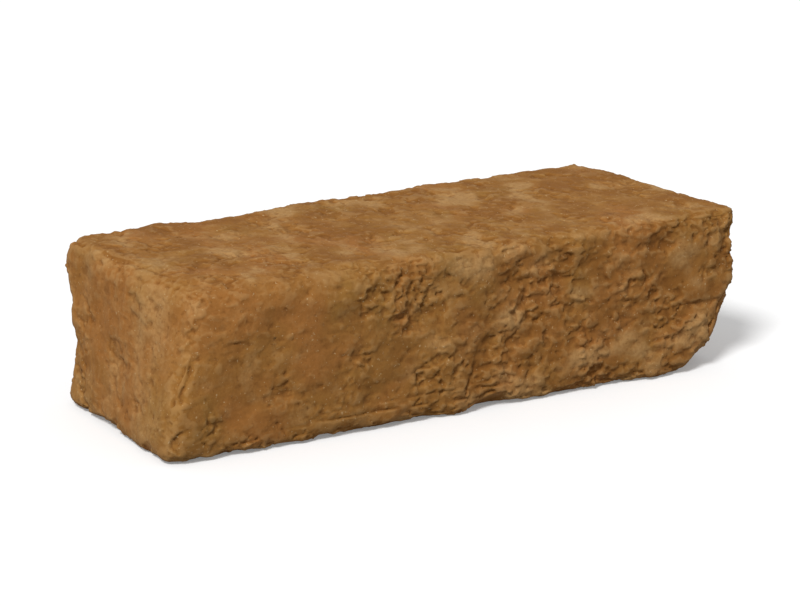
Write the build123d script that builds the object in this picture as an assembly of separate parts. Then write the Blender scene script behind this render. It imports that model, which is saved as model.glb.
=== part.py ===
"""Tumbled concrete stacking block: one cast piece with two flat beds, four split faces and worn arrises.

X runs along the block, Y from its front face to its back, and Z up.
The origin is the middle of the bottom bed face.
"""

from build123d import *
from collections import namedtuple
import math
import os

# Nominal size, in millimetres, from which relief and wear are taken
LENGTH = 408.0
DEPTH = 143.5
HEIGHT = 100.0

# Plan of the block: the vertical arrises are rounded by tumbling
CORNER_RADIUS = 7.0
POINT_SPACING = 7.0  # between the outline's points along a side
CORNER_STEPS = 4  # stretches of outline round a vertical arris

# Worn arrises round the two bed faces
ARRIS_HEIGHT = 8.0  # how far the wear reaches down a split face
ARRIS_STEPS = 4  # strips round the quarter of an arris
FACE_STEPS = 10  # level stretches of a split face between its two arrises
ARRIS_WIDTH = 5.0  # how far the wear reaches across a bed face
ARRIS_VARIATION = 0.5  # share by which that width comes and goes along the edge
ARRIS_RIPPLE = 2.0  # how much faster it comes and goes than the lumps of a split face

# The upper front arris is blunter towards its left corner
BLUNT_HEIGHT = 13.0  # extra wear down the face
BLUNT_WIDTH = 11.0  # extra wear across the bed
BLUNT_STEPS = 6  # strips round the quarter of the blunt arris
BLUNT_FRONT_REACH = 130.0  # how far it reaches along the front
BLUNT_END_REACH = 60.0  # how far it reaches round the corner

# So is the upright arris under that corner, more so towards its top
UPRIGHT_WEAR = 6.0
UPRIGHT_REACH = 28.0  # how far the wear reaches along the front and the end

# Relief of the split faces, measured inwards from the nominal plan
FRONT_RELIEF = 7.0
END_RELIEF = 6.0
BACK_RELIEF = 6.5

# The lumps that a split leaves in a face are crossing waves, and their shares add up to 1.
# The height of each wave bends the crests of the next
WAVE_BEND = 0.6
Wave = namedtuple("Wave", "length heading phase share")
WAVES = [
    Wave(length=210.0, heading=(1.0, 0.7, 0.5), phase=0.9, share=0.24),
    Wave(length=96.0, heading=(1.0, -0.9, -0.6), phase=2.6, share=0.18),
    Wave(length=67.0, heading=(0.8, 1.0, 0.75), phase=4.4, share=0.12),
    Wave(length=58.0, heading=(1.0, 0.6, -0.7), phase=1.3, share=0.12),
    Wave(length=48.0, heading=(0.5, -1.0, 0.9), phase=5.1, share=0.10),
    Wave(length=35.0, heading=(1.0, 0.8, 0.6), phase=3.3, share=0.13),
    Wave(length=31.0, heading=(0.6, -0.9, -0.95), phase=0.4, share=0.11),
]

# The ends are split out of square: the left stands in from a toe at its lower front corner,
# and the right stands in at its back
TOE_LENGTH = 10.0
BACK_SET_BACK = 18.0
END_FADE = 90.0  # the set-back of an end dies out this far along the block

# Broken corner, low on the right of the front face: a steep flake and a flatter one under it
BREAK_RADIUS = 260.0
STEEP_FLAKE_BITE = 13.0
STEEP_FLAKE_TILT = -0.3  # how steeply the flake faces down
FLAT_FLAKE_BITE = 18.0
FLAT_FLAKE_TILT = -1.0

# Spalls on the arrises: how deep they bite, the radius of the hollow, and where they are
BED_SPALL_BITE = 5.0
BED_SPALL_RADIUS = 34.0
BED_SPALL_RIGHT = 24.0  # from the middle of the lower front arris
END_SPALL_BITE = 9.0
END_SPALL_RADIUS = 60.0
END_SPALL_HEIGHT = 28.0  # up the arris between the left end and the back
BACK_SPALL_BITE = 3.0
BACK_SPALL_RADIUS = 60.0
BACK_SPALL_LEFT = 95.0  # from the middle of the upper back arris

NODE = "stacking_block"


def smooth_step(t):
    """Rises from 0 to 1 as t does, level at both ends."""
    t = min(max(t, 0.0), 1.0)
    return t * t * (3 - 2 * t)


def swell(x, y, z):
    """An uneven field from 0 to 1: the lumps that a split leaves in a face."""
    total = height = 0.0
    for wave in WAVES:
        travel = x * wave.heading[0] + y * wave.heading[1] + z * wave.heading[2]
        height = math.sin(2 * math.pi * travel / wave.length + wave.phase + WAVE_BEND * height)
        total += wave.share * height
    return 0.5 + 0.5 * total


def plan_sides():
    """The nominal plan, a rounded rectangle, as four sides that meet in the middle of the corner arcs.

    Each side is a list of points with the direction that faces out there.
    """
    half_x, half_y = LENGTH / 2 - CORNER_RADIUS, DEPTH / 2 - CORNER_RADIUS
    centres = [(half_x, half_y), (-half_x, half_y), (-half_x, -half_y), (half_x, -half_y)]

    def on_arc(corner, share):
        angle = math.pi / 2 * (corner + share)
        out_x, out_y = math.cos(angle), math.sin(angle)
        centre_x, centre_y = centres[corner % 4]
        return centre_x + CORNER_RADIUS * out_x, centre_y + CORNER_RADIUS * out_y, out_x, out_y

    half_arc = [i / CORNER_STEPS for i in range(CORNER_STEPS // 2 + 1)]
    sides = []
    for corner in range(4):
        leaving = [on_arc(corner, 0.5 + share) for share in half_arc]
        arriving = [on_arc(corner + 1, share) for share in half_arc]
        (x, y, out_x, out_y), (end_x, end_y, _, _) = leaving[-1], arriving[0]
        count = max(round(math.dist((x, y), (end_x, end_y)) / POINT_SPACING), 2)
        along = [i / count for i in range(1, count)]
        straight = [(x + (end_x - x) * t, y + (end_y - y) * t, out_x, out_y) for t in along]
        sides.append(leaving + straight + arriving)
    return sides


def relief(x, y, z, out_x, out_y):
    """How far a split face lies inside the nominal plan: the front, the back and the ends differ in depth."""
    front, back = max(-out_y, 0.0) ** 2, max(out_y, 0.0) ** 2
    depth = FRONT_RELIEF * front + BACK_RELIEF * back + END_RELIEF * out_x**2
    return depth * swell(x, y, z)


def arris_wear(x, y, z):
    """How far tumbling has worn a bed arris in: a quarter round that widens and narrows along the edge."""
    bed = HEIGHT if z > HEIGHT / 2 else 0.0
    ripple = 2 * swell(ARRIS_RIPPLE * x, ARRIS_RIPPLE * y, bed) - 1
    width, height = ARRIS_WIDTH * (1 + ARRIS_VARIATION * ripple), ARRIS_HEIGHT
    if bed == HEIGHT:
        to_left, to_front = (x + LENGTH / 2) / BLUNT_FRONT_REACH, (y + DEPTH / 2) / BLUNT_END_REACH
        blunt = math.exp(-(to_left**2) - to_front**2)
        width += BLUNT_WIDTH * blunt
        height += BLUNT_HEIGHT * blunt
    from_edge = max(1 - abs(z - bed) / height, 0.0)
    return width * (1 - math.sqrt(1 - from_edge**2))


def upright_wear(x, y, z):
    """How far the upright arris between the front and the left end is worn in."""
    from_arris = math.hypot(x + LENGTH / 2, y + DEPTH / 2) / UPRIGHT_REACH
    return UPRIGHT_WEAR * math.exp(-(from_arris**2)) * smooth_step(z / HEIGHT)


def end_set_back(x, y, z):
    """How far along X the ends are drawn in: the left behind and above its toe, the right towards its back."""
    toe = smooth_step(0.5 - y / DEPTH) * smooth_step(1.0 - z / HEIGHT)
    towards_back = 0.5 + y / DEPTH
    at_left = smooth_step((-x - LENGTH / 2 + END_FADE) / END_FADE)
    at_right = smooth_step((x - LENGTH / 2 + END_FADE) / END_FADE)
    return TOE_LENGTH * (1 - toe) * at_left - BACK_SET_BACK * towards_back * at_right


def worn_point(x, y, z, out_x, out_y):
    """Where a point of the nominal plan lies on the worn block at a height: drawn in towards the middle."""
    inwards = relief(x, y, z, out_x, out_y) + arris_wear(x, y, z) + upright_wear(x, y, z)
    drawn_x = x * (1 - inwards / (LENGTH / 2)) + end_set_back(x, y, z)
    drawn_y = y * (1 - inwards / (DEPTH / 2))
    return Vector(drawn_x, drawn_y, z)


def outline(z):
    """The block's section at a height. The points of every section have the same parameters along a side."""
    edges = []
    for side in plan_sides():
        parameters = [0.0]
        for before, after in zip(side, side[1:]):
            parameters.append(parameters[-1] + math.dist(before[:2], after[:2]))
        points = [worn_point(x, y, z, out_x, out_y) for x, y, out_x, out_y in side]
        edges.append(Edge.make_spline(points, parameters=parameters))
    return Wire(edges)


def cap_levels(height, steps):
    """Distances from a bed face, evenly spaced round the quarter of an arris of that height."""
    return [height * (1 - math.cos(math.pi / 2 * i / steps)) for i in range(steps + 1)]


def skin():
    """The block before anything broke off it: sections from bed to bed, closest together round the arrises."""
    lower = cap_levels(ARRIS_HEIGHT, ARRIS_STEPS)
    upper = [HEIGHT - z for z in reversed(cap_levels(ARRIS_HEIGHT + BLUNT_HEIGHT, BLUNT_STEPS))]
    low, high = lower[-1], upper[0]
    middle = [low + (high - low) * i / FACE_STEPS for i in range(FACE_STEPS + 1)]
    heights = lower[:-1] + middle + upper[1:]
    return Solid.make_loft([outline(z) for z in heights], ruled=True)


def scoop(plan_point, z, tilt, bite, radius):
    """A ball that takes a shallow hollow out of a worn arris. Tilt is how steeply the hollow faces up."""
    x, y, out_x, out_y = plan_point
    outward = Vector(out_x, out_y, tilt).normalized()
    centre = worn_point(x, y, z, out_x, out_y) + outward * (radius - bite)
    return Pos(*centre) * Sphere(radius)


def corner_point(side_x, side_y):
    """A plan point in the middle of a corner arc, with the direction that faces out there."""
    out = math.sqrt(0.5)
    inset = CORNER_RADIUS * (1 - out)
    return side_x * (LENGTH / 2 - inset), side_y * (DEPTH / 2 - inset), side_x * out, side_y * out


def hollows():
    """The broken corner, and the spalls on the lower front, left end and upper back arrises."""
    lower_front = (BED_SPALL_RIGHT, -DEPTH / 2, 0.0, -1.0)
    upper_back = (-BACK_SPALL_LEFT, DEPTH / 2, 0.0, 1.0)
    return [
        scoop(corner_point(1, -1), 0.0, STEEP_FLAKE_TILT, STEEP_FLAKE_BITE, BREAK_RADIUS),
        scoop(corner_point(1, -1), 0.0, FLAT_FLAKE_TILT, FLAT_FLAKE_BITE, BREAK_RADIUS),
        scoop(lower_front, 0.0, -1.0, BED_SPALL_BITE, BED_SPALL_RADIUS),
        scoop(corner_point(-1, 1), END_SPALL_HEIGHT, 0.0, END_SPALL_BITE, END_SPALL_RADIUS),
        scoop(upper_back, HEIGHT, 1.0, BACK_SPALL_BITE, BACK_SPALL_RADIUS),
    ]


def stacking_block():
    """The finished block, with the middle of its bottom bed face at the origin."""
    block = skin()
    for hollow in hollows():
        block = block - hollow
    box = block.bounding_box()
    return Pos(-box.center().X, -box.center().Y, -box.min.Z) * block


os.makedirs("parts", exist_ok=True)
block = stacking_block()
export_step(block, f"parts/{NODE}.step")
print(f"{NODE}: {block.volume / 1e6:.3f} litres, {len(block.faces())} faces, {block.bounding_box().size}")
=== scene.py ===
"""Looks of the stacking block: the rough skin and colour of tumbled concrete, in a plain white studio.

X runs along the block, Y from its front face to its back, and Z up. Lengths here are in millimetres
unless they say otherwise, and MM turns them into the scene's metres.
"""

from collections import namedtuple
import math

import bpy
import numpy as np
from mathutils import Euler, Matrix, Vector, noise


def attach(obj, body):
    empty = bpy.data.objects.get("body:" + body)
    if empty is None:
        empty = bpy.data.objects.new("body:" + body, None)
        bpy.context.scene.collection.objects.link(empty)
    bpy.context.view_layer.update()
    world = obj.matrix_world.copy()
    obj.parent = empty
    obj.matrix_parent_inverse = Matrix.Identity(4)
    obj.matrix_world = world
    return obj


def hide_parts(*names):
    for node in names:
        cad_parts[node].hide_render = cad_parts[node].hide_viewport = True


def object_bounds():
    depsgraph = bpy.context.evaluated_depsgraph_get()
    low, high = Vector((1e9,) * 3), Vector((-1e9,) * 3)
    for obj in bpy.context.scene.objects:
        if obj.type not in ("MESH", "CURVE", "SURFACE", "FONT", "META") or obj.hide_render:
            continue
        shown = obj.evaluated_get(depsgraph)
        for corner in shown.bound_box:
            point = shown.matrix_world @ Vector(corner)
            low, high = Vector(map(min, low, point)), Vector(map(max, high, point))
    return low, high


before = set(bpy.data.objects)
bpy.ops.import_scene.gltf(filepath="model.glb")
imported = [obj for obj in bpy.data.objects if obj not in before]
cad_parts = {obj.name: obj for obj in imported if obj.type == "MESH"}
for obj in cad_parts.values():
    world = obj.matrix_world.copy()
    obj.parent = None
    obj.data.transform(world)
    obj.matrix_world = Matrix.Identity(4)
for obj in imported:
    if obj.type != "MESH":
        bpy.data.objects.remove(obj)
cad_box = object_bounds()

MM = 0.001
NODE = "stacking_block"
BODY = "root"

# Mesh of the skin
VOXEL = 1.0  # edge length before the mesh is thinned
TRIANGLE_LIMIT = 190_000
EDGE_SMOOTHING = 90  # rounds of smoothing that tell arrises from faces
NORMAL_SMOOTHING = 60  # rounds of smoothing of the direction in which the skin is pressed in
PIT_SMOOTHING = 8  # rounds of smoothing that tell pits from lumps

# A pattern of noise: the size of its largest lumps, a shift that picks it, and how many sizes it has
Pattern = namedtuple("Pattern", "size shift octaves")
OCTAVE_STEP = 2.0  # how many times smaller each size is than the one before
OCTAVE_FALL = 1.0  # the power of that step by which it is lower, too
NOISE_TURN = np.array(Euler((0.6, 0.4, 0.9)).to_matrix())  # out of line with the block's faces

# Relief of a fully rough split face.
# Here and below, a range says at which values of the noise a feature sets in and is full
LUMPS = Pattern(size=(26.0, 22.0, 18.0), shift=5.7, octaves=2)
LUMP_DEPTH = 1.6
Flakes = namedtuple("Flakes", "pattern height")
FLAKES = (
    Flakes(Pattern(size=(15.0, 12.0, 9.5), shift=7.4, octaves=2), height=0.9),
    Flakes(Pattern(size=(8.5, 7.0, 5.6), shift=10.5, octaves=2), height=0.85),
    Flakes(Pattern(size=(4.6, 4.2, 3.5), shift=13.6, octaves=2), height=0.33),
)
FLAKE_RANGE = (-0.06, 0.1)
FLAKE_PATCHES = Pattern(size=34.0, shift=19.6, octaves=2)
FLAKE_PATCH_RANGE = (-0.3, 0.35)
FLAKE_SHARE = 0.6  # of the flakes' height, between the patches
FLAKE_PATCH_SHARE = 0.6  # what the patches add to it
PITS = Pattern(size=7.0, shift=1.9, octaves=3)
PIT_RANGE = (0.2, 0.6)
PIT_DEPTH = 1.3
PIT_CLUSTERS = Pattern(size=35.0, shift=23.0, octaves=1)
PIT_CLUSTER_RANGE = (-0.1, 0.3)
GRAINS = Pattern(size=2.2, shift=2.6, octaves=2)
GRAIN_DEPTH = 0.1

# A smooth skin with little of that relief is left in places, and the concrete under it is broken elsewhere
SKIN_SHARE = 0.36  # of the relief
SKIN_HEIGHT = 0.55  # how far the skin stands out of the broken concrete
SKIN_LEVEL = 0.4  # how broken a place is that keeps the level of the solid
SKIN_PATCHES = Pattern(size=22.0, shift=3.1, octaves=4)
SKIN_CONTRAST = 1.6  # how much of the noise is added to the lean of a face
SKIN_RANGE = (-0.1, 0.15)
ARRIS_SHARE = 0.6  # of the relief, on the arrises

# How far a face leans towards broken concrete: at -0.65 a tenth of it is broken, and at 0.75 nine tenths
FRONT_LEFT_LEAN, FRONT_RIGHT_LEAN = -0.65, 0.75
FRONT_CHANGE = -45.0  # where along the front the lean is 0
FRONT_CHANGE_LENGTH = 60.0  # how far along the front it rises by 1
BACK_LEAN = 0.45
END_LEAN = -0.7
BED_LEAN = -0.32

# Scuffs of the beds, and smears down the ends
SCUFFS = Pattern(size=(22.0, 22.0, 30.0), shift=14.2, octaves=2)
SCUFF_DEPTH = 0.5
SMEARS = Pattern(size=(30.0, 9.0, 55.0), shift=17.5, octaves=2)
SMEAR_DEPTH = 0.6
BED_SINK = 0.9  # how far the middle of a bed's relief lies inside the solid

# Thin cracks along the bottom of the front, where the concrete was pressed in layers
CRACKS = Pattern(size=(90.0, 60.0, 9.0), shift=41.0, octaves=2)
CRACK_WIDTH = 0.1  # how far the noise departs from 0 across half a crack
CRACK_DEPTH = 1.3
CRACK_TOP = (24.0, 12.0)  # the heights at which they set in and are full, from above
CRACK_BOTTOM = (4.0, 9.0)  # and from below
CRACK_MIDDLE, CRACK_REACH = -40.0, 75.0  # along the face

# Places on the front: where along it, how far up, and the radius
Spot = namedtuple("Spot", "x z radius")
# In some of them it broke out deeper
HOLLOWS = (
    Spot(x=-48.0, z=71.0, radius=17.0),
    Spot(x=-76.0, z=45.0, radius=10.0),
    Spot(x=-125.0, z=33.0, radius=7.0),
    Spot(x=-28.0, z=78.0, radius=9.0),
    Spot(x=118.0, z=62.0, radius=10.0),
)
HOLLOW_CRUMBS = Pattern(size=7.0, shift=37.0, octaves=3)
HOLLOW_RANGE = (-0.25, 0.2)
HOLLOW_DEPTH = 1.2
# In others its smooth skin is left
SKINS = (
    Spot(x=-97.0, z=44.0, radius=13.0),
    Spot(x=-50.0, z=41.0, radius=18.0),
    Spot(x=9.0, z=71.0, radius=10.0),
    Spot(x=134.0, z=72.0, radius=9.0),
    Spot(x=170.0, z=66.0, radius=21.0),
)
SKIN_HOLD = 1.5  # how far such a place leans towards the skin

# Chips of the arrises, and nicks in the upright ones
CHIPS = Pattern(size=30.0, shift=31.0, octaves=2)
CHIP_RANGE = (0.05, 0.5)
CHIP_DEPTH = 3.2
NICKS = Pattern(size=13.0, shift=33.0, octaves=3)
NICK_RANGE = (0.1, 0.3)
NICK_DEPTH = 2.6

# Larger bites out of the upright arrises
Bite = namedtuple("Bite", "middle radius depth")
BITES = (
    Bite(middle=(-190.0, 66.0, 58.0), radius=8.0, depth=6.5),
    Bite(middle=(-191.0, 57.0, 40.0), radius=9.0, depth=3.0),
    Bite(middle=(199.0, -68.0, 78.0), radius=11.0, depth=7.0),
    Bite(middle=(196.0, -68.0, 38.0), radius=9.0, depth=4.5),
)
BITE_CRUMBS = Pattern(size=7.0, shift=51.0, octaves=3)
BITE_CONTRAST = 0.6  # how much the noise changes the depth of a bite

# Arrises, told from faces by how far they stand out of their smoothed surroundings
ARRIS_HEIGHT = 1.6
ARRIS_RANGE = (0.05, 0.9)  # shares of that height at which an arris sets in and is full
ARRIS_SOFTENING = 0.7  # share of its height by which an arris is worn down

# Dust, with painted shade in the hollows of the lumps and painted light on their tops, from -1 where the
# concrete is bare and dark or shaded to 1: its mean, and how much the noise changes it
SCUFF_DUST = SCUFFS._replace(octaves=4)
SCUFF_DUST_MEAN, SCUFF_DUST_CONTRAST = -0.2, 2.0
SMEAR_DUST = SMEARS._replace(octaves=3)
SMEAR_DUST_MEAN, SMEAR_DUST_CONTRAST = 0.2, 0.45
# how strongly shade is painted in the hollows of the lumps and light on their tops
LUMP_SHADING_CONTRAST = 1.7
ARRIS_DUST = Pattern(size=30.0, shift=44.0, octaves=3)
ARRIS_DUST_MEAN, ARRIS_DUST_CONTRAST = 0.2, 1.1
ARRIS_DUST_SLOPE = 0.5  # how far an arris has to face up or down to carry all of its dust
PALE_BAND, PALE_BAND_Y, PALE_BAND_WIDTH = 0.3, -28.0, 16.0  # the widest smear down the left end
PALE_CORNER, PALE_CORNER_X, PALE_CORNER_Y = 0.55, -140.0, -60.0  # on the top by its front left corner
PALE_CORNER_LENGTH, PALE_CORNER_WIDTH = 55.0, 24.0


def smooth_step(low, high, values):
    """Goes from 0 to 1 as the values go from low to high."""
    share = np.clip((values - low) / (high - low), 0.0, 1.0)
    return share * share * (3 - 2 * share)


def noise_at(points, pattern):
    """Smooth noise, mostly between -0.6 and 0.6."""
    places = (points / np.array(pattern.size)) @ NOISE_TURN + pattern.shift
    fractal = [noise.fractal(place, OCTAVE_FALL, OCTAVE_STEP, pattern.octaves) for place in places.tolist()]
    return np.array(fractal)


def mesh_arrays(mesh):
    """The mesh's points in millimetres, its vertex normals, and its edges."""
    points = np.empty(len(mesh.vertices) * 3)
    normals = np.empty(len(mesh.vertices) * 3)
    edges = np.empty(len(mesh.edges) * 2, dtype=np.int64)
    mesh.vertices.foreach_get("co", points)
    mesh.vertices.foreach_get("normal", normals)
    mesh.edges.foreach_get("vertices", edges)
    return points.reshape(-1, 3) / MM, normals.reshape(-1, 3), edges.reshape(-1, 2)


def smoothed(values, edges, rounds):
    """Each point's values, averaged with its neighbours' for that many rounds."""
    ends = np.concatenate([edges[:, 0], edges[:, 1]])
    others = np.concatenate([edges[:, 1], edges[:, 0]])
    size = len(values)
    count = np.bincount(ends, minlength=size)[:, None]
    for _ in range(rounds):
        around = [np.bincount(ends, weights=column, minlength=size) for column in values[others].T]
        values = 0.5 * values + 0.5 * np.stack(around, axis=1) / count
    return values


def standing_out(points, normals, edges, rounds):
    """How far each point stands out of the surface smoothed over that many rounds, in millimetres."""
    return ((points - smoothed(points, edges, rounds)) * normals).sum(axis=1)


def facing(normals):
    """Shares of each point's outward direction: to the front, the back, the ends and the beds."""
    front = np.clip(-normals[:, 1], 0, 1) ** 2
    back = np.clip(normals[:, 1], 0, 1) ** 2
    return front, back, normals[:, 0] ** 2, normals[:, 2] ** 2


def front_spots(points, front, spots):
    """1 in the middle of these places on the front, falling to 0 around them."""
    share = np.zeros(len(points))
    for spot in spots:
        away = (points[:, 0] - spot.x) ** 2 + (points[:, 2] - spot.z) ** 2
        share += np.exp(-away / spot.radius**2)
    return front * np.clip(share, 0, 1)


def broken_share(points, normals, hollows):
    """1 where the smooth skin broke off, and 0 where it is left."""
    front, back, end, bed = facing(normals)
    along = (points[:, 0] - FRONT_CHANGE) / FRONT_CHANGE_LENGTH
    front_lean = np.clip(along, FRONT_LEFT_LEAN, FRONT_RIGHT_LEAN)
    lean = front_lean * front + BACK_LEAN * back + END_LEAN * end + BED_LEAN * bed
    lean = lean + hollows - SKIN_HOLD * front_spots(points, front, SKINS)
    return smooth_step(*SKIN_RANGE, lean + SKIN_CONTRAST * noise_at(points, SKIN_PATCHES))


def split_relief(points):
    """The relief of a rough split face, 0 on average: lumps, and flakes that come in patches."""
    depth = LUMP_DEPTH * noise_at(points, LUMPS)
    patches = smooth_step(*FLAKE_PATCH_RANGE, noise_at(points, FLAKE_PATCHES))
    share = FLAKE_SHARE + FLAKE_PATCH_SHARE * patches
    for flakes in FLAKES:
        standing = smooth_step(*FLAKE_RANGE, noise_at(points, flakes.pattern))
        depth += share * flakes.height * (0.5 - standing)
    return depth


def front_cracks(points, front):
    """1 in the cracks along the bottom of the front, and 0 beside them."""
    x, z = points[:, 0], points[:, 2]
    near = np.exp(-(((x - CRACK_MIDDLE) / CRACK_REACH) ** 4))
    near *= smooth_step(*CRACK_TOP, z)
    near *= smooth_step(*CRACK_BOTTOM, z)
    return front * near * (1 - smooth_step(0.0, CRACK_WIDTH, np.abs(noise_at(points, CRACKS))))


def arris_bites(points):
    """How deep the larger bites out of the upright arrises are at each point, in millimetres."""
    depth = np.zeros(len(points))
    for bite in BITES:
        away = ((points - bite.middle) ** 2).sum(axis=1) / bite.radius**2
        depth += bite.depth * np.exp(-away)
    return depth * (1 + BITE_CONTRAST * noise_at(points, BITE_CRUMBS))


def skin_depth(points, normals, arris):
    """How far the surface lies inside the plain solid at each point, in millimetres."""
    front, _, end, bed = facing(normals)
    hollows = front_spots(points, front, HOLLOWS)
    broken = broken_share(points, normals, hollows)
    rough = SKIN_SHARE + (1 - SKIN_SHARE) * broken
    rough += np.clip(ARRIS_SHARE - rough, 0, 1) * arris

    clusters = smooth_step(*PIT_CLUSTER_RANGE, noise_at(points, PIT_CLUSTERS))
    pits = clusters * smooth_step(*PIT_RANGE, noise_at(points, PITS))
    depth = rough * split_relief(points) + np.sqrt(rough) * PIT_DEPTH * pits
    depth += CRACK_DEPTH * front_cracks(points, front)
    depth += HOLLOW_DEPTH * hollows * smooth_step(*HOLLOW_RANGE, noise_at(points, HOLLOW_CRUMBS))
    depth += SKIN_HEIGHT * (broken - SKIN_LEVEL) + GRAIN_DEPTH * noise_at(points, GRAINS)
    depth += bed * (BED_SINK + SCUFF_DEPTH * noise_at(points, SCUFFS))
    depth += end * SMEAR_DEPTH * noise_at(points, SMEARS)
    depth += arris_bites(points)
    depth += arris * CHIP_DEPTH * smooth_step(*CHIP_RANGE, noise_at(points, CHIPS))
    depth += arris * (1 - bed) * NICK_DEPTH * smooth_step(*NICK_RANGE, noise_at(points, NICKS))
    return depth


def dust_and_lump_shading(points, normals, arris):
    """How dusty the surface is, in scuffs on the beds, smears down the ends and on arrises, with painted
    shade in the hollows of the lumps and painted light on their tops.
    """
    front, back, end, bed = facing(normals)
    x, y = points[:, 0], points[:, 1]
    along = (x - PALE_CORNER_X) / PALE_CORNER_LENGTH
    across = (y - PALE_CORNER_Y) / PALE_CORNER_WIDTH
    corner = np.exp(-(along**2) - across**2) * (normals[:, 2] > 0)
    band = np.exp(-(((y - PALE_BAND_Y) / PALE_BAND_WIDTH) ** 2)) * (x < 0)
    rough = front * np.clip((x - FRONT_CHANGE) / FRONT_CHANGE_LENGTH, 0, 1) + back
    level = np.clip(np.abs(normals[:, 2]) / ARRIS_DUST_SLOPE, 0, 1)

    scuffs = SCUFF_DUST_MEAN + SCUFF_DUST_CONTRAST * noise_at(points, SCUFF_DUST) + PALE_CORNER * corner
    smears = SMEAR_DUST_MEAN + SMEAR_DUST_CONTRAST * noise_at(points, SMEAR_DUST) + PALE_BAND * band
    # painted shade in the hollows of the lumps and painted light on their tops
    lumps = -LUMP_SHADING_CONTRAST * noise_at(points, LUMPS)
    edges = (ARRIS_DUST_MEAN + ARRIS_DUST_CONTRAST * noise_at(points, ARRIS_DUST)) * level
    return np.clip(bed * scuffs + end * smears + rough * lumps + arris * edges, -1, 1)


def evaluated_mesh(thing):
    """A new mesh: the object's, with its modifiers applied."""
    graph = bpy.context.evaluated_depsgraph_get()
    return bpy.data.meshes.new_from_object(thing.evaluated_get(graph))


def add_object(name, data):
    """A new object of the scene."""
    thing = bpy.data.objects.new(name, data)
    bpy.context.scene.collection.objects.link(thing)
    return thing


def triangle_count(mesh):
    """How many triangles the mesh's faces make."""
    return sum(len(face.vertices) - 2 for face in mesh.polygons)


def block_skin():
    """The block's skin: the plain solid in even small faces, pressed in by the relief, then thinned."""
    block = add_object("block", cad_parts[NODE].data.copy())
    remesh = block.modifiers.new("even faces", "REMESH")
    remesh.mode = "VOXEL"
    remesh.voxel_size = VOXEL * MM
    block.data = evaluated_mesh(block)
    block.modifiers.clear()

    points, normals, edges = mesh_arrays(block.data)
    ridge = standing_out(points, normals, edges, EDGE_SMOOTHING)
    arris = smooth_step(*ARRIS_RANGE, ridge / ARRIS_HEIGHT)
    outwards = smoothed(normals, edges, NORMAL_SMOOTHING)
    depth = skin_depth(points, normals, arris) + ARRIS_SOFTENING * np.clip(ridge, 0, None)
    pressed = points - outwards * depth[:, None]
    low, high = np.array(cad_box)
    block.data.vertices.foreach_set("co", np.clip(pressed * MM, low, high).ravel())
    # dust, and the painted shade and light of the lumps
    dust_and_shading = block.data.attributes.new("dust_and_shading", "FLOAT", "POINT")
    dust_and_shading.data.foreach_set("value", dust_and_lump_shading(points, normals, arris))
    block.data.update()

    thin = block.modifiers.new("thin", "DECIMATE")
    thin.ratio = min(TRIANGLE_LIMIT / triangle_count(block.data), 1.0)
    block.data = evaluated_mesh(block)
    block.modifiers.clear()
    block.data.polygons.foreach_set("use_smooth", [True] * len(block.data.polygons))

    points, normals, edges = mesh_arrays(block.data)
    block.data.vertices.foreach_set("co", np.clip(points * MM, low, high).ravel())
    # how far each point stands out, which the material uses to paint light on high points and shade in low
    # ones
    relief = block.data.attributes.new("relief", "FLOAT", "POINT")
    relief.data.foreach_set("value", standing_out(points, normals, edges, PIT_SMOOTHING))
    block.data.update()
    print("skin:", triangle_count(block.data), "triangles")
    return block


# Colours, linear
BROWN = (0.27, 0.122, 0.026, 1)
REDDISH = (0.29, 0.118, 0.027, 1)
OLIVE = (0.24, 0.124, 0.026, 1)
SHADED = (0.205, 0.081, 0.014, 1)
# pale dust, which is also the painted light on high points and on the tops of lumps
DUST_AND_HIGHLIGHT = (0.41, 0.238, 0.092, 1)
SAND = (0.50, 0.34, 0.17, 1)
# painted shade in pits, crevices and specks too small for the mesh
PAINTED_PIT_SHADE = (0.135, 0.045, 0.006, 1)

# Patches of colour or grain: the size of the largest, how many finer sizes there are, and their strength
Patches = namedtuple("Patches", "size detail roughness", defaults=[0.55])

# Layers of colour over the brown, from the bottom up. Each follows patches, or the mesh's dust or relief:
# it sets in where that is at low, and reaches its most where that is at high
Layer = namedtuple("Layer", "follows low high most colour")
LAYERS = (
    Layer(Patches(size=70.0, detail=3), low=0.4, high=0.6, most=1.0, colour=REDDISH),
    Layer(Patches(size=46.0, detail=3), low=0.5, high=0.66, most=0.5, colour=OLIVE),
    Layer(Patches(size=21.0, detail=4), low=0.5, high=0.7, most=0.45, colour=SHADED),
    Layer(Patches(size=13.0, detail=4), low=0.5, high=0.72, most=0.35, colour=DUST_AND_HIGHLIGHT),
    # dust, and the painted shade in the lumps' hollows and painted light on their tops
    Layer("dust_and_shading", low=0.0, high=1.0, most=0.7, colour=DUST_AND_HIGHLIGHT),
    Layer("dust_and_shading", low=0.0, high=-1.0, most=0.8, colour=SHADED),
    Layer(Patches(size=2.2, detail=3), low=0.4, high=0.62, most=0.3, colour=SHADED),
    # dark specks: painted shade of pits too small for the mesh
    Layer(Patches(size=3.4, detail=2), low=0.63, high=0.7, most=0.4, colour=PAINTED_PIT_SHADE),
    # painted light on the high points and painted shade in the crevices
    Layer("relief", low=0.08, high=0.45, most=0.3, colour=DUST_AND_HIGHLIGHT),
    Layer("relief", low=-0.08, high=-0.5, most=0.45, colour=PAINTED_PIT_SHADE),
    Layer(Patches(size=1.7, detail=2), low=0.66, high=0.74, most=0.65, colour=SAND),
)

# Finish of the concrete, with a grain too fine for the mesh
ROUGHNESS = 0.95
SPECULAR = 0.2
BUMP_GRAIN = Patches(size=1.6, detail=4, roughness=0.7)
BUMP_DISTANCE = 0.5
BUMP_STRENGTH = 0.5


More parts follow.
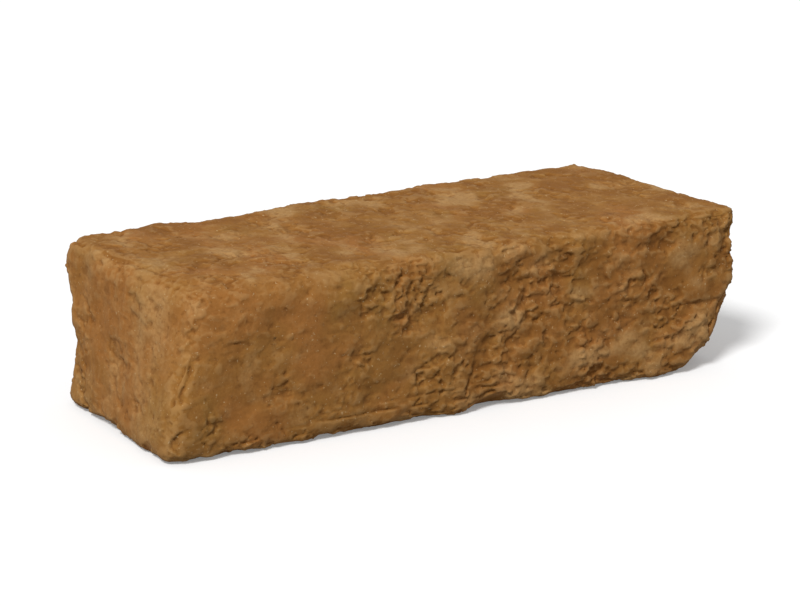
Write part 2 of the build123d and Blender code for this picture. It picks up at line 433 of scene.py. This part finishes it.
def concrete():
    """Sandy brown concrete, with painted shade in pits and crevices, painted light on high points, paler
    dusty places, pale grains of sand and a fine grain.
    """
    material = bpy.data.materials.new("tumbled_concrete")
    material.use_nodes = True
    nodes, links = material.node_tree.nodes, material.node_tree.links
    shader = nodes["Principled BSDF"]
    shader.inputs["Roughness"].default_value = ROUGHNESS
    shader.inputs["Specular IOR Level"].default_value = SPECULAR
    place = nodes.new("ShaderNodeTexCoord").outputs["Object"]

    def noise_node(patches):
        """Noise between 0 and 1 in these patches."""
        node = nodes.new("ShaderNodeTexNoise")
        node.inputs["Scale"].default_value = 1 / (patches.size * MM)
        node.inputs["Detail"].default_value = patches.detail
        node.inputs["Roughness"].default_value = patches.roughness
        links.new(place, node.inputs["Vector"])
        return node.outputs["Fac"]

    def attribute(name):
        """A named value of the mesh."""
        node = nodes.new("ShaderNodeAttribute")
        node.attribute_name = name
        return node.outputs["Fac"]

    def share(layer):
        """Goes from 0 to the layer's most as what it follows goes from low to high."""
        node = nodes.new("ShaderNodeMapRange")
        node.interpolation_type = "SMOOTHSTEP"
        node.inputs["From Min"].default_value = layer.low
        node.inputs["From Max"].default_value = layer.high
        node.inputs["To Max"].default_value = layer.most
        follow = noise_node if isinstance(layer.follows, Patches) else attribute
        links.new(follow(layer.follows), node.inputs["Value"])
        return node.outputs["Result"]

    def laid_on(layer, below):
        """The colour of a layer over the one below, which is a plain colour or an earlier result."""
        node = nodes.new("ShaderNodeMix")
        node.data_type = "RGBA"
        links.new(share(layer), node.inputs["Factor"])
        first, second = (socket for socket in node.inputs if socket.type == "RGBA")
        second.default_value = layer.colour
        if isinstance(below, tuple):
            first.default_value = below
        else:
            links.new(below, first)
        return next(socket for socket in node.outputs if socket.type == "RGBA")

    colour = BROWN
    for layer in LAYERS:
        colour = laid_on(layer, colour)
    links.new(colour, shader.inputs["Base Color"])

    bump = nodes.new("ShaderNodeBump")
    bump.inputs["Distance"].default_value = BUMP_DISTANCE * MM
    bump.inputs["Strength"].default_value = BUMP_STRENGTH
    links.new(noise_node(BUMP_GRAIN), bump.inputs["Height"])
    links.new(bump.outputs["Normal"], shader.inputs["Normal"])
    return material


# Studio: a sun through a large diffuser from the front left, and a white room
KEY_TOWARDS = Vector((-0.60, -0.42, 0.68))
KEY_STRENGTH = 3.0
KEY_ANGLE = math.radians(14)
ROOM_STRENGTH = 0.45
FLOOR_SIZE = 20.0  # in metres
FLOOR_BOUNCE = 0.3  # how pale the floor is to the light that it throws back
FLOOR_SHADE = 0.8  # share of the floor's white that the shadow darkens


def seen_directly(nodes, links):
    """1 for what the camera sees, itself or in a reflection or through glass, else 0."""
    path = nodes.new("ShaderNodeLightPath")
    seen = path.outputs["Is Camera Ray"]
    for name in ("Is Glossy Ray", "Is Transmission Ray"):
        either = nodes.new("ShaderNodeMath")
        either.operation = "MAXIMUM"
        links.new(seen, either.inputs[0])
        links.new(path.outputs[name], either.inputs[1])
        seen = either.outputs[0]
    return seen


def white_floor():
    """A white floor that keeps the block's shadow and throws little light back on the block."""
    material = bpy.data.materials.new("white_floor")
    material.use_nodes = True
    nodes, links = material.node_tree.nodes, material.node_tree.links
    nodes.clear()
    seen = seen_directly(nodes, links)
    grey = nodes.new("ShaderNodeMapRange")
    grey.inputs["To Min"].default_value = FLOOR_BOUNCE
    grey.inputs["To Max"].default_value = FLOOR_SHADE
    links.new(seen, grey.inputs["Value"])
    lit = nodes.new("ShaderNodeBsdfDiffuse")
    links.new(grey.outputs["Result"], lit.inputs["Color"])
    glow = nodes.new("ShaderNodeEmission")
    strength = nodes.new("ShaderNodeMath")
    strength.operation = "MULTIPLY"
    strength.inputs[1].default_value = 1 - FLOOR_SHADE
    links.new(seen, strength.inputs[0])
    links.new(strength.outputs[0], glow.inputs["Strength"])
    both = nodes.new("ShaderNodeAddShader")
    links.new(lit.outputs[0], both.inputs[0])
    links.new(glow.outputs[0], both.inputs[1])
    output = nodes.new("ShaderNodeOutputMaterial")
    links.new(both.outputs[0], output.inputs["Surface"])

    half = FLOOR_SIZE / 2
    corners = [(-half, -half, 0), (half, -half, 0), (half, half, 0), (-half, half, 0)]
    mesh = bpy.data.meshes.new("floor")
    mesh.from_pydata(corners, [], [(0, 1, 2, 3)])
    mesh.materials.append(material)
    floor = add_object("floor", mesh)


def white_room():
    """An even white surround, dimmer as a light than it looks."""
    world = bpy.data.worlds.new("white_room")
    bpy.context.scene.world = world
    world.use_nodes = True
    nodes, links = world.node_tree.nodes, world.node_tree.links
    background = nodes["Background"]
    background.inputs["Color"].default_value = (1, 1, 1, 1)
    strength = nodes.new("ShaderNodeMapRange")
    strength.inputs["To Min"].default_value = ROOM_STRENGTH
    strength.inputs["To Max"].default_value = 1.0
    links.new(seen_directly(nodes, links), strength.inputs["Value"])
    links.new(strength.outputs["Result"], background.inputs["Strength"])


def key_light():
    """A broad soft light from the upper left, a little in front of the block."""
    lamp = bpy.data.lights.new("key", "SUN")
    lamp.energy = KEY_STRENGTH
    lamp.angle = KEY_ANGLE
    key = add_object("key", lamp)
    key.rotation_euler = KEY_TOWARDS.to_track_quat("Z", "Y").to_euler()


# Camera: where it stands from the middle of the bottom bed, in metres, and how it is turned
CAMERA_PLACE = Vector((-1.3516, -1.8645, 0.7279))
CAMERA_LENS = 184.0
CAMERA_ROLL = math.radians(2.16)


def camera():
    """A long lens from the front left, a little above the block."""
    lens = bpy.data.cameras.new("camera")
    lens.lens = CAMERA_LENS
    eye = add_object("camera", lens)
    eye.location = CAMERA_PLACE
    low, high = cad_box
    aim = (Vector(low) + Vector(high)) / 2 - CAMERA_PLACE
    eye.rotation_euler = aim.to_track_quat("-Z", "Y").to_euler()
    eye.rotation_euler.rotate_axis("Z", CAMERA_ROLL)
    bpy.context.scene.camera = eye


camera()
white_floor()
white_room()
key_light()
bpy.context.scene.view_settings.view_transform = "Standard"

block = block_skin()
block.data.materials.clear()
block.data.materials.append(concrete())
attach(block, BODY)
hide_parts(NODE)
